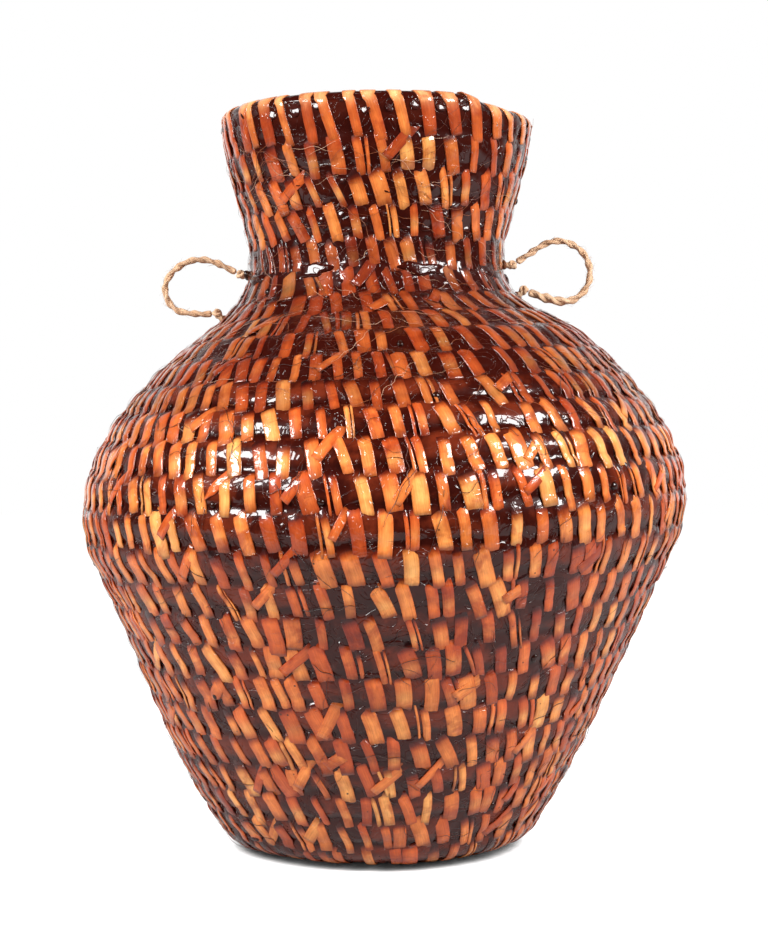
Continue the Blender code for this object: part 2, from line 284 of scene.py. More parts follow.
# The wall's outline, row by row, as the CAD source makes it.

PATH_STEP = 0.0004
PITCH_ROUNDS = 8
CURVE_STEPS = 80
LEAST_RUN = 1e-6


def bezier(start, start_slope, end, end_slope, start_pull, end_pull):
    start, end = np.array(start), np.array(end)
    chord = np.linalg.norm(end - start)
    leave = start + chord * start_pull * np.array((math.cos(start_slope), math.sin(start_slope)))
    arrive = end - chord * end_pull * np.array((math.cos(end_slope), math.sin(end_slope)))
    t = np.linspace(0.0, 1.0, CURVE_STEPS)[:, None]
    return (1 - t) ** 3 * start + 3 * (1 - t) ** 2 * t * leave + 3 * (1 - t) * t**2 * arrive + t**3 * end


def settled(radius, height, angle):
    side = math.cos(angle)
    return radius + SETTLE_SHIFT * side, height + math.tan(SETTLE_TILT) * radius * side


def outer_wall(angle):
    shoulder_height = BELLY_HEIGHT + SHOULDER_RISE
    neck_height = shoulder_height + NECK_RISE
    flank = settled(BELLY_RADIUS - FLANK_INSET, BELLY_HEIGHT - FLANK_DROP, angle)
    belly = settled(BELLY_RADIUS, BELLY_HEIGHT, angle)
    shoulder = settled(BELLY_RADIUS - SHOULDER_INSET, shoulder_height, angle)
    neck = (NECK_RADIUS, neck_height)
    stations = ((FOOT_RADIUS, 0.0), flank, belly, shoulder, neck, (RIM_RADIUS, neck_height + RIM_RISE))
    slopes = (FOOT_SLOPE, FLANK_SLOPE, UPRIGHT, SHOULDER_SLOPE, UPRIGHT, UPRIGHT)
    runs = []
    for k, (start_pull, end_pull) in enumerate(PULLS):
        run = bezier(stations[k], slopes[k], stations[k + 1], slopes[k + 1], start_pull, end_pull)
        runs.append(run[min(k, 1):])
    return np.vstack(runs)


def unit(vectors):
    return vectors / np.linalg.norm(vectors, axis=-1, keepdims=True)


def lengths_along(path):
    """Lengths from the start of a path, or of each path in an array of them."""
    steps = np.linalg.norm(np.diff(path, axis=-2), axis=-1)
    return np.concatenate((np.zeros((*steps.shape[:-1], 1)), np.cumsum(steps, axis=-1)), axis=-1)


def evenly_spaced(path, step):
    lengths = lengths_along(path)
    wanted = np.linspace(0.0, lengths[-1], int(round(lengths[-1] / step)) + 1)
    return np.column_stack([np.interp(wanted, lengths, path[:, k]) for k in range(path.shape[1])])


def centre_path(angle):
    outline = outer_wall(angle)
    along = unit(np.gradient(outline, axis=0))
    middle = outline + HALF_COIL * np.column_stack((-along[:, 1], along[:, 0]))
    along = unit(np.gradient(middle, axis=0))
    slope = along[:, 1] / np.maximum(along[:, 0], LEAST_RUN)
    above = middle[:, 1] - HALF_COIL - HEEL_REACH * slope
    first = int(np.argmax(above > 0.0))
    reach = middle[first, 0]
    flat = np.arange(0.0, reach, PATH_STEP)
    heel = HALF_COIL + HEEL_REACH * slope[first] * np.exp((flat - reach) / HEEL_REACH)
    return evenly_spaced(np.vstack((np.column_stack((flat, heel)), middle[first:])), PATH_STEP)


def row_numbers(path, pitch):
    lengths = lengths_along(path)
    ahead = np.minimum(lengths + pitch / 2, lengths[-1])
    behind = np.maximum(lengths - pitch / 2, 0.0)
    across = [np.interp(ahead, lengths, path[:, k]) - np.interp(behind, lengths, path[:, k]) for k in (0, 1)]
    straightness = np.hypot(*across) / (ahead - behind)
    gained = np.diff(lengths) * (straightness[1:] + straightness[:-1]) / 2
    rows = np.concatenate(([0.0], np.cumsum(gained))) / pitch
    return rows - np.interp(CORE_RADIUS, path[:, 0], rows)


def solve_pitch():
    path = centre_path(UPRIGHT)
    pitch = lengths_along(path)[-1] / LAST_ROW
    for _ in range(PITCH_ROUNDS):
        pitch *= row_numbers(path, pitch)[-1] / LAST_ROW
    return pitch


PITCH = solve_pitch()
TABLE_ANGLES = 37
TABLE_ROW_STEP = 0.02
ROW_GRID = np.arange(-0.75, LAST_ROW + 1e-9, TABLE_ROW_STEP)
SMOOTH_STEPS = 9
ROUGH_ENDS = 5


def wall_table():
    """Radius, height and heading of the coil's middle over the rows, from one side round to the other."""
    table = []
    window = np.ones(SMOOTH_STEPS) / SMOOTH_STEPS
    for angle in np.linspace(0.0, math.pi, TABLE_ANGLES):
        path = centre_path(angle)
        rows = row_numbers(path, PITCH)
        rows *= LAST_ROW / rows[-1]
        line = np.column_stack([np.interp(ROW_GRID, rows, path[:, k]) for k in (0, 1)])
        heading = unit(np.gradient(line, axis=0))
        smooth = np.array([np.convolve(heading[:, k], window, mode="same") for k in (0, 1)]).T
        smooth[:ROUGH_ENDS] = heading[:ROUGH_ENDS]
        smooth[-ROUGH_ENDS:] = heading[-ROUGH_ENDS:]
        table.append(np.column_stack((line, unit(smooth))))
    return np.array(table)


WALL = wall_table()


def wall(angle, row):
    """Places on the coil's middle, with the outward normals and the ways up the wall."""
    angle, row = np.broadcast_arrays(np.asarray(angle, float), np.asarray(row, float))
    folded = np.arccos(np.clip(np.cos(angle), -1.0, 1.0)) / math.pi * (TABLE_ANGLES - 1)
    step = np.clip((row - ROW_GRID[0]) / TABLE_ROW_STEP, 0.0, len(ROW_GRID) - 1.001)
    a = np.minimum(folded.astype(int), TABLE_ANGLES - 2)
    r = step.astype(int)
    past_angle = (folded - a)[..., None]
    past_row = (step - r)[..., None]
    low, high = (WALL[k, r] * (1 - past_row) + WALL[k, r + 1] * past_row for k in (a, a + 1))
    found = low * (1 - past_angle) + high * past_angle
    radius, height, run, rise = (found[..., k] for k in range(4))
    c, s = np.cos(angle), np.sin(angle)
    place = np.stack((AXIS_X + radius * c, radius * s, height), axis=-1)
    out = unit(np.stack((rise * c, rise * s, -run), axis=-1))
    up = unit(np.stack((run * c, run * s, rise), axis=-1))
    return place, out, up


def on_wall(angle, row, height):
    """Places at a height over the wall's outside, with the outward normals and the ways up."""
    place, out, up = wall(angle, row)
    return place + (HALF_COIL + np.asarray(height))[..., None] * out, out, up


def radius_at(row):
    return np.interp(row, ROW_GRID, WALL[TABLE_ANGLES // 2, :, 0]) + HALF_COIL


def wavy(angle, row, seed, waves, around, upward):
    """Smooth unevenness round the jar and up it, about -1 to 1."""
    draw = np.random.default_rng(seed)
    total = np.zeros(np.broadcast(angle, row).shape)
    for _ in range(waves):
        turns = draw.integers(-around, around + 1)
        total += np.sin(turns * angle + draw.normal(0.0, upward) * row + draw.uniform(0.0, TAU))
    return total / math.sqrt(waves)


def smooth_step(x):
    x = np.clip(x, 0.0, 1.0)
    return x * x * (3 - 2 * x)


def bell(x, middle, width):
    return np.exp(-(((x - middle) / width) ** 2))


# Meshes.

ATTRIBUTES = {"crown": ("FLOAT", "value"), "wet": ("FLOAT", "value"), "tint": ("FLOAT_COLOR", "color"),
              "fibre": ("FLOAT_VECTOR", "vector")}


def mesh_object(name, vertices, faces, finish, merge=None, **attributes):
    """A smooth mesh that faces outwards; points nearer to each other than merge become one."""
    mesh = bpy.data.meshes.new(name)
    mesh.from_pydata(vertices.tolist(), [], faces)
    mesh.update()
    mesh.shade_smooth()
    mesh.materials.append(finish)
    for key, values in attributes.items():
        kind, field = ATTRIBUTES[key]
        layer = mesh.attributes.new(key, kind, "POINT")
        layer.data.foreach_set(field, np.asarray(values, np.float32).ravel())
    build = bmesh.new()
    build.from_mesh(mesh)
    if merge:
        bmesh.ops.remove_doubles(build, verts=build.verts, dist=merge)
    bmesh.ops.recalc_face_normals(build, faces=build.faces)
    build.to_mesh(mesh)
    build.free()
    return add_object(name, mesh)


def faces_between(index, beside):
    """Faces between columns of point numbers and the columns beside them."""
    quads = np.stack((index[:, :-1], beside[:, :-1], beside[:, 1:], index[:, 1:]), axis=-1)
    return quads.reshape(-1, 4).tolist()


def faces_round(index):
    return faces_between(index, np.roll(index, -1, axis=0))


def fan(tip, edge):
    return [(tip, a, b) for a, b in zip(edge.tolist(), np.roll(edge, -1).tolist())]


def rod_faces(rods, steps, sides, first=0):
    """Faces of closed rods, whose points are numbered rod by rod and ring by ring."""
    index = first + np.arange(rods * steps * sides).reshape(rods, steps, sides)
    a, b = index[:, :-1], index[:, 1:]
    quads = np.stack((a, np.roll(a, -1, axis=2), np.roll(b, -1, axis=2), b), axis=-1)
    return quads.reshape(-1, 4).tolist() + index[:, 0, ::-1].tolist() + index[:, -1].tolist()


# The coiled wall.

TURN_STEPS = 540
ROW_LEVELS = 9
DOME_LEVELS = 14
INNER_LEVELS = 36
MERGE = 1e-6
CROWN_DEPTH = 0.00060
GROOVE_DEPTH = 0.00080
RIDGE_GROOVE = 0.00060
RIDGE_ROW = 17.0
UPPER_FILL = 0.00025
POOL_ROW = 24.25
GROOVE_POWER = 2.4
ROW_SHIFT = 0.20
OVERCAST_FROM = WHOLE_TURNS - 0.55
RIM_DOME = 0.28
RIM_ABOVE = 0.44
COIL_END_FROM = 0.965
COIL_END_FALL = 0.786
START_BUMP = 0.06
INSIDE_CROWN = 0.35
INSIDE_WET = 0.5

# Unevenness: a seed, the number of waves, how often they go round, and how fast they change upwards.
SEAT_SWAY = (5, 6, 9, 0.8)
SEAT_JITTER = (6, 12, 90, 1.5)
WALL_SWELL = (1, 10, 9, 0.7)
WALL_GRAIN = (2, 16, 80, 6.0)
DRIP_SWELL = (21, 12, 30, 0.35)
DRIP_GRAIN = (22, 12, 60, 3.0)
COLOUR_DRIFT = (8, 8, 8, 0.6)


def turn_share(angle):
    return ((np.asarray(angle) - COIL_END_ANGLE) / TAU) % 1.0


def ring_angles(columns):
    return COIL_END_ANGLE + TAU * np.arange(columns) / columns


def row_shift(row):
    """The topmost rows sit a little higher than even spacing would put them."""
    return ROW_SHIFT * smooth_step((row - 19.0) / 8.0)


def crown(angle, row):
    """One on the middle of a coil, falling to none in the groove between two coils."""
    turned = turn_share(angle)
    seat = row - row_shift(row) + 0.045 * wavy(angle, row, *SEAT_SWAY) + 0.03 * wavy(angle, row, *SEAT_JITTER)
    last = np.floor(OVERCAST_FROM - turned) + 0.5 + turned
    from_groove = np.abs((seat - turned + 1.0) % 1.0 - 0.5)
    from_groove = np.where(seat > last, np.minimum(seat - last, 0.5), from_groove)
    return 1.0 - (1.0 - 2.0 * from_groove) ** GROOVE_POWER


def pooled(row):
    """How much of the grooves and stitches the pitch has filled, most at the foot of the neck."""
    return bell(row, POOL_ROW, 0.75)


def groove_depth(row):
    """The rods stand out most round the ridge of the belly."""
    filled = UPPER_FILL * smooth_step((row - 18.5) / 3.0)
    return (GROOVE_DEPTH + RIDGE_GROOVE * bell(row, RIDGE_ROW, 2.2) - filled) * (1.0 - 0.7 * pooled(row))


def skin(angle, row):
    """How far the pitched wall lies from the CAD outline, which is never crossed."""
    uneven = 0.00028 * wavy(angle, row, *WALL_SWELL) + 0.00012 * wavy(angle, row, *WALL_GRAIN)
    return -CROWN_DEPTH - groove_depth(row) * (1.0 - crown(angle, row)) + np.minimum(uneven, 0.00025)


def rim_row(turned):
    """The row that the rim reaches, rising along the last turn, with a soft step where the coil ends."""
    ended = smooth_step((turned - COIL_END_FROM) / (1 - COIL_END_FROM))
    risen = COIL_END_SHARE * turned * (1 - COIL_END_FALL * ended)
    return WHOLE_TURNS + RIM_ABOVE + risen + START_BUMP * smooth_step(1 - turned / 0.03)


def dome_foot(turned):
    """The row from which the wall rounds over into the rim."""
    return rim_row(turned) - RIM_DOME


def rim_section(angle, share, lift):
    """Points over the rim, from outside at share 0 round the top to the inside at share 1."""
    place, out, up = wall(angle, dome_foot(turn_share(angle)))
    half = HALF_COIL - CROWN_DEPTH + lift
    tall = RIM_DOME * PITCH + lift
    over = math.pi * share
    return place + (half * np.cos(over))[..., None] * out + (tall * np.sin(over))[..., None] * up


def coiled_wall():
    count = (WHOLE_TURNS + 1) * TURN_STEPS
    n = np.arange(count)[:, None]
    level = np.arange(ROW_LEVELS)[None, :] / ROW_LEVELS
    turned = (n % TURN_STEPS) / TURN_STEPS
    angle = COIL_END_ANGLE + TAU * turned + 0.0 * level
    row = n / TURN_STEPS - 0.5 + level
    row = row + row_shift(row)
    highest = dome_foot(turned)
    lowest = np.minimum(WHOLE_TURNS - 0.5 + turned + ROW_SHIFT, highest)
    last = n >= WHOLE_TURNS * TURN_STEPS
    row = np.where(last, lowest + (highest - lowest) * level, np.minimum(row, highest))
    ribbon = on_wall(angle, row, skin(angle, row))[0].reshape(-1, 3)
    # Painted shade: the red of the pitch is dulled from row 18.6 up, a little less above row 24.9, over the
    # upward-facing shoulder; the grooves stay dark, partly painted shade.
    shoulder_shade = smooth_step((row - 18.6) / 1.0) * (1 - 0.35 * smooth_step((row - 24.9) / 0.8))
    crown_redness = crown(angle, row) * (1 - 0.8 * shoulder_shade)

    ring = ring_angles(TURN_STEPS)[:, None]
    dome = rim_section(ring, np.linspace(0.0, 1.0, DOME_LEVELS + 1)[None, :], 0.0)
    down = np.linspace(0.0, 1.0, INNER_LEVELS + 1)[1:]
    inner_rows = dome_foot(turn_share(ring)) * (1 - down) - 0.3 * down
    inner = on_wall(ring, inner_rows, -COIL_THICKNESS)[0]
    over = np.concatenate((dome, inner), axis=1)
    tips = np.array(((AXIS_X, 0.0, CROWN_DEPTH), (AXIS_X, 0.0, COIL_THICKNESS)))
    vertices = np.vstack((ribbon, over.reshape(-1, 3), tips))

    under_tip, inner_tip = len(vertices) - 2, len(vertices) - 1
    inside = len(ribbon) + np.arange(over.shape[0] * over.shape[1]).reshape(over.shape[:2])
    rungs = np.arange(count * ROW_LEVELS).reshape(count, ROW_LEVELS)
    under = np.concatenate((rungs[:TURN_STEPS + 1, 0], rungs[0, ::-1])).tolist()
    rungs = np.column_stack((rungs, np.concatenate((rungs[TURN_STEPS:, 0], inside[:, 0]))))
    end = rungs[-1].tolist()
    faces = faces_between(rungs[:-1], rungs[1:])
    faces += [(len(ribbon), a, b) for a, b in zip(end, end[1:])]
    faces += faces_round(inside)
    faces += [(under_tip, b, a) for a, b in zip(under, under[1:])]
    faces += fan(inner_tip, inside[:, -1])
    rest = len(vertices) - len(ribbon)
    return mesh_object("coiled_wall", vertices, faces, WALL_PITCH, MERGE,
                       crown=np.concatenate((crown_redness.ravel(), np.full(rest, INSIDE_CROWN))),
                       wet=np.concatenate((pooled(row).ravel(), np.full(rest, INSIDE_WET))))


jar_nodes = [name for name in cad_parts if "coil" in name or name == "base_start_knot"]
wall_piece = coiled_wall()
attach(wall_piece, "jar")
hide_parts(*jar_nodes)


# Pitch coat inside.

COAT_COLUMNS = 220
COAT_LEVELS = 190
COAT_THICKNESS = 0.0006
COAT_GROOVE = 0.0008
COAT_LEAST = 0.0003
COAT_OVERLAP = 0.0001


def pitch_coat():
    top = LAST_ROW - LINING_BELOW_RIM / PITCH - 0.10
    angle, row = np.meshgrid(ring_angles(COAT_COLUMNS), np.linspace(-0.55, top, COAT_LEVELS), indexing="ij")
    groove = np.abs((row - turn_share(angle)) % 1.0 - 0.5) * 2
    drips = 0.0003 * wavy(angle, row, *DRIP_SWELL) + 0.0001 * wavy(angle, row, *DRIP_GRAIN)
    depth = LINING_CLEARANCE + COAT_THICKNESS + COAT_GROOVE * groove**0.8 + drips
    inside = on_wall(angle, row, -COIL_THICKNESS - np.maximum(depth, COAT_LEAST))[0]
    behind = on_wall(angle, row, COAT_OVERLAP - COIL_THICKNESS)[0]
    sheet = np.concatenate((inside, behind[:, ::-1]), axis=1)
    tips = np.array(((AXIS_X, 0.0, COIL_THICKNESS + LINING_CLEARANCE + COAT_THICKNESS),
                     (AXIS_X, 0.0, COIL_THICKNESS - COAT_OVERLAP)))
    vertices = np.vstack((sheet.reshape(-1, 3), tips))
    index = np.arange(len(vertices) - 2).reshape(sheet.shape[:2])
    faces = faces_round(index) + fan(len(vertices) - 2, index[:, 0]) + fan(len(vertices) - 1, index[:, -1])
    crown_redness = np.concatenate((1 - groove, 1 - groove), axis=1).ravel()
    return mesh_object("pitch_coat_inside", vertices, faces, LINING_PITCH,
                       crown=np.concatenate((crown_redness, (0.5, 0.5))))


coat = pitch_coat()
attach(coat, "jar")
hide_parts("pitch_lining")


# Strips: splints, broken ends and fibres are all built as closed flat strips.

RING = np.array(((-1.0, -0.40), (-0.87, -0.07), (0.0, 0.06), (0.87, -0.07), (1.0, -0.40),
                 (1.0, -1.0), (0.0, -1.0), (-1.0, -1.0)))
RING_TINT = np.array(((0.50, 0.30, 0.22), (0.84, 0.69, 0.58), (1.05, 1.08, 1.08), (0.84, 0.69, 0.58),
                      (0.55, 0.36, 0.28), (0.45, 0.40, 0.38), (0.45, 0.40, 0.38), (0.45, 0.40, 0.38)))


def strip_object(name, place, out, half, thick, tint, finish):
    """Closed strips along rows of places, each with its face towards out."""
    strips, steps = place.shape[:2]
    along = unit(np.gradient(place, axis=1))
    side = unit(np.cross(along, out))
    face = unit(np.cross(side, along))
    half, thick = (np.broadcast_to(size, (strips, steps))[..., None] for size in (half, thick))
    across = half * RING[:, 0]
    deep = thick * RING[:, 1]
    points = place[:, :, None] + across[..., None] * side[:, :, None] + deep[..., None] * face[:, :, None]
    colours = np.ones((*across.shape, 4))
    colours[..., :3] = np.broadcast_to(tint, place.shape)[:, :, None] * RING_TINT
    number = np.arange(strips, dtype=float)[:, None, None]
    fibre = np.stack(np.broadcast_arrays(across, lengths_along(place)[..., None], number), axis=-1)
    return mesh_object(name, points.reshape(-1, 3), rod_faces(strips, steps, len(RING)), finish,
                       tint=colours, fibre=fibre)


def steps_between(start, end, count):
    return np.linspace(start, end, count)[None, :]


def varied(middle, spread, size):
    return middle + spread * rng.normal(size=size)


def from_spiral(turns, aside, up, lowest, below_top):
    """Angles and rows beside and above places on the spiral."""
    row = turns + aside / TAU + up
    return COIL_END_ANGLE + TAU * turns + aside, np.clip(row + row_shift(row), lowest, LAST_ROW - below_top)


# Values that change up the jar: rows, and the value at each.
STITCH_GAPS = ((0.0, 4.0, 9.0, 14.5, 17.5, 22.0, 25.0, 30.0),
               (0.0064, 0.0068, 0.0071, 0.0080, 0.0084, 0.0077, 0.0078, 0.0079))
STITCH_WIDTHS = ((0.0, 8.0, 15.0, 19.0), (0.0041, 0.0043, 0.0044, 0.0040))
# Pitch stain on the splints, and painted shade over the shoulder from row 18.8 up; the darkest, at the foot
# of the neck, is pitch pooled over them.
PITCH_STAIN_AND_SHADE = ((0.0, 8.0, 14.0, 17.4, 18.8, 22.5, 24.6, 25.6, 26.6, 27.5, 30.0),
         (0.10, 0.08, 0.0, 0.0, 0.60, 0.80, 0.90, 0.10, 0.04, 0.22, 0.22))
# Painted sheen: splints on the ridge of the belly, which faces the lamps, are drawn paler.
RIDGE_PAINTED_SHEEN = ((12.5, 15.0, 17.5, 18.5), (0.0, 0.13, 0.13, 0.0))
WIDTH_SPREAD = 0.0008
MEAN_SLANT = radians(13.0)
RIM_SLANT = 0.9 * MEAN_SLANT
FIRST_STITCH = 0.05
GAP_SPREAD = 0.13
LEAST_GAP = 0.62
NESTING = 0.7


def stitch_sequence(last):
    """Turns along the spiral at which stitches cross it, each drawn to the gap between two below it."""
    places = [FIRST_STITCH]
    while True:
        here = places[-1]
        around = TAU * float(radius_at(here))
        gap = float(np.interp(here, *STITCH_GAPS)) / around
        target = here + gap * (1.0 + GAP_SPREAD * rng.normal())
        lean = math.tan(MEAN_SLANT) * PITCH * 1.1 / around
        below = bisect.bisect(places, target - 1.0 + lean)
        best = target
        if 0 < below < len(places):
            middle = (places[below - 1] + places[below]) / 2 + 1.0 - lean
            if abs(middle - target) < 0.5 * gap:
                best = NESTING * middle + (1 - NESTING) * target
        best = max(best, here + LEAST_GAP * gap)
        if best > last:
            return np.array(places)
        places.append(best)


# Splint colours, from pale amber to deep red-brown, the stain that the pitch leaves on them, and painted
# shade over the shoulder.
PALE = np.array((0.96, 0.48, 0.145))
AMBER = np.array((0.88, 0.310, 0.074))
ORANGE = np.array((0.68, 0.135, 0.024))
RUST = np.array((0.34, 0.042, 0.010))
# Near black for thick pitch, also painted shade where splints dip under the coil above, inside the rim and
# into the pitch.
THICK_PITCH_AND_SHADE = np.array((0.075, 0.007, 0.003))
PEACH = np.array((0.95, 0.52, 0.24))
FADED = 0.35 * RUST
REDDENING = np.array((1.0, 1.6, 2.0))
SHADES = np.array((RUST, ORANGE, AMBER, PALE))
SHADE_DRAWS = (0.0, 0.42, 0.82, 1.0)
STITCH_DRAW = (2.6, 2.4)
STAIN_AND_SHADE_COLOUR = np.array((0.34, 0.22, 0.20))


def splint_colour(draw, turns):
    """Colours from draws between 0 and 1; painted shade darkens the splints over the shoulder, and the pitch
    stains them most at the foot of the neck, where it pools.
    """
    draw = np.clip(draw, 0, 1)
    shade = np.stack([np.interp(draw, SHADE_DRAWS, SHADES[:, k]) for k in range(3)], axis=-1)
    share = np.interp(turns, *PITCH_STAIN_AND_SHADE)[..., None]
    return shade * (1 - share + share * STAIN_AND_SHADE_COLOUR)


def blended(tint, colour, share):
    share = share[..., None]
    return tint * (1 - share) + colour * share


SPLINT_THICKNESS = 0.00042
STITCH_STEPS = 13
PROUD_SHARE = 0.16
SPLIT_SHARE = 0.13
LEAST_RADIUS = 0.006
BOW = 0.00035
BRIDGED = 0.45
BRIDGE_WIDTH = 0.13
UNDER_RIM = 0.02


def stitches(turns):
    """Stitches from their upper ends down; a narrow strand lies beside each one that has split."""
    column = (len(turns), 1)
    turns = turns[:, None]
    slant = varied(MEAN_SLANT, radians(5.5), column)
    width = np.clip(varied(np.interp(turns, *STITCH_WIDTHS), WIDTH_SPREAD, column), 0.0023, 0.0062)
    overlap = rng.uniform(0.20, 0.46, column)
    proud_end = rng.random(column) < PROUD_SHARE
    draw = np.clip(rng.beta(*STITCH_DRAW, column) + 0.08 * wavy(TAU * turns, turns, *COLOUR_DRIFT), 0, 1)
    shade = splint_colour(draw + np.interp(turns, *RIDGE_PAINTED_SHEEN), turns)

    split = rng.random(len(turns)) < SPLIT_SHARE
    strand = (split.sum(), 1)
    gap = width[split] * rng.uniform(0.62, 0.72, strand)
    narrow = width[split] * rng.uniform(0.22, 0.34, strand)
    side = np.where(rng.random(strand) < 0.5, -1.0, 1.0)
    width[split] *= 0.72
    turns = np.concatenate((turns, turns[split]))
    width = np.concatenate((width, narrow))
    shift = np.concatenate((np.zeros(column), side * gap))
    slant = np.concatenate((slant, varied(slant[split], radians(3.0), strand)))
    overlap = np.concatenate((overlap, overlap[split] + rng.uniform(-0.04, 0.06, strand)))
    proud_end = np.concatenate((proud_end, proud_end[split]))
    shade = np.concatenate((shade, shade[split] * rng.uniform(0.75, 1.1, (*strand, 1))))

    column = (len(turns), 1)
    t = steps_between(0.0, 1.0, STITCH_STEPS)
    top = varied(0.47, 0.05, column)
    up = top + (-0.5 - overlap - top) * t
    bow = BOW * np.sin(math.pi * t)
    aside = (bow + shift - np.tan(slant) * PITCH * up) / np.maximum(radius_at(turns), LEAST_RADIUS)
    angle, row = from_spiral(turns, aside, up, -0.70, UNDER_RIM)
    tucked = smooth_step(t / 0.30)
    ended = np.where(proud_end, 1.0, smooth_step((1.0 - t) / 0.20))
    lift = SPLINT_THICKNESS * ((-0.30 + 1.05 * tucked) * ended - 0.30 * pooled(row)) - 0.0002 * (1 - ended)
    bridge = BRIDGED * groove_depth(row) * bell(up, -0.5, BRIDGE_WIDTH)
    place, out, _ = on_wall(angle, row, np.minimum(skin(angle, row) + lift + bridge, 0.0))
    half = width / 2 * (1.0 - 0.10 * (1 - smooth_step(t / 0.2)) - 0.05 * t)

    # Top ends darkened and reddened: thick pitch and painted shade in the groove under the coil above.
    pitch_shade_to = np.clip(varied(0.27, 0.13, column), 0.14, 0.80)
    pitch_shade = 0.95 * smooth_step((pitch_shade_to - t) / (0.08 + 0.42 * pitch_shade_to))
    fade_from = rng.uniform(0.62, 0.84, column)
    fade = smooth_step((t - fade_from) / (1.0 - fade_from)) * rng.uniform(0.45, 0.9, column)
    # Paler in the lower middle of some stitches, where the pitch is thin; partly a painted highlight.
    glow = rng.uniform(-0.5, 0.7, column).clip(0.0) * bell(t, 0.62, 0.16)
    unstained_unshaded = 1 - np.interp(turns, *PITCH_STAIN_AND_SHADE)
    tint = blended(shade, PALE * unstained_unshaded[..., None], glow) * (1 - pitch_shade[..., None]) ** REDDENING
    tint = blended(tint, FADED, fade)
    return strip_object("splint_stitches", place, out, half, SPLINT_THICKNESS, tint, SPLINT)


OVER_STEPS = 9
DOWN_STEPS = 14
RIM_WIDTH = 0.0042
OVER_REACH = 0.004


def overcast(turns):
    """Rim stitches: from the inside over the top and down across the topmost coil."""
    column = (len(turns), 1)
    turns = turns[:, None]
    angle0 = COIL_END_ANGLE + TAU * turns
    slant = varied(RIM_SLANT, radians(5.0), column)
    width = np.clip(varied(RIM_WIDTH, WIDTH_SPREAD, column), 0.0026, 0.0062)
    shade = splint_colour(rng.beta(*STITCH_DRAW, column), turns)
    base = dome_foot(turn_share(angle0))
    groove = turns - 0.5 + row_shift(turns)
    foot = groove - rng.uniform(0.18, 0.38, column)

    def leaning(rise):
        return angle0 - np.tan(slant) * rise / RIM_RADIUS * 0.9

    share = np.linspace(1.0, 0.0, OVER_STEPS, endpoint=False)[None, :]
    angle = leaning((base - foot) * PITCH + OVER_REACH * (0.6 + share))
    lift = SPLINT_THICKNESS * (0.4 + 0.5 * smooth_step((1 - share) / 0.2))
    over = rim_section(angle, share, lift)
    onward = rim_section(angle, share - 0.02, lift) - rim_section(angle, share + 0.02, lift)
    over_out = unit(np.cross(onward, rim_section(angle + 0.01, share, lift) - over))
    outward = wall(angle0, base)[1]
    over_out *= np.sign(np.sum(over_out[:, -2:-1] * outward, axis=-1, keepdims=True))

    share = steps_between(0.0, 1.0, DOWN_STEPS)
    row = base + (foot - base) * share
    angle = leaning((row - foot) * PITCH)
    row = np.clip(row, 0.0, LAST_ROW - UNDER_RIM)
    lift = SPLINT_THICKNESS * 0.85 * smooth_step((1.0 - share) / 0.08)
    bridge = BRIDGED * groove_depth(row) * bell(row, groove, BRIDGE_WIDTH)
    down, down_out, _ = on_wall(angle, row, np.minimum(skin(angle, row) + lift + bridge, 0.0))
    place = np.concatenate((over, down), axis=1)
    out = np.concatenate((over_out, down_out), axis=1)

    t = steps_between(0.0, 1.0, OVER_STEPS + DOWN_STEPS)
    half = width / 2 * (1.0 - 0.12 * np.abs(2 * t - 1) ** 3 + 0.42 * bell(t, 0.22, 0.11))
    top = 0.80 * OVER_STEPS / (OVER_STEPS + DOWN_STEPS)
    tint = blended(shade, PEACH, 0.75 * bell(t, top, 0.12))
    # Darkened inside the rim: thick pitch and painted shade.
    tint = blended(tint, THICK_PITCH_AND_SHADE, 0.7 * smooth_step((0.20 - t) / 0.2))
    tint = blended(tint, FADED, 0.35 * smooth_step((t - 0.85) / 0.15))
    return strip_object("rim_overcasting", place, out, half, SPLINT_THICKNESS, tint, SPLINT)


all_turns = stitch_sequence(OVERCAST_FROM + 1.0)
plain = all_turns[all_turns < OVERCAST_FROM]
stitch_piece = stitches(plain)
rim_piece = overcast(all_turns[all_turns >= OVERCAST_FROM])
for piece in (stitch_piece, rim_piece):
    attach(piece, "jar")


# Loose ends of splints, lying across the stitches from lower left to upper right.

LOOSE_SHARE = 0.085
LOOSE_FROM = 4.3
LOOSE_STEPS = 9
LOOSE_TOP = 0.0004
POINTED_SHARE = 0.12


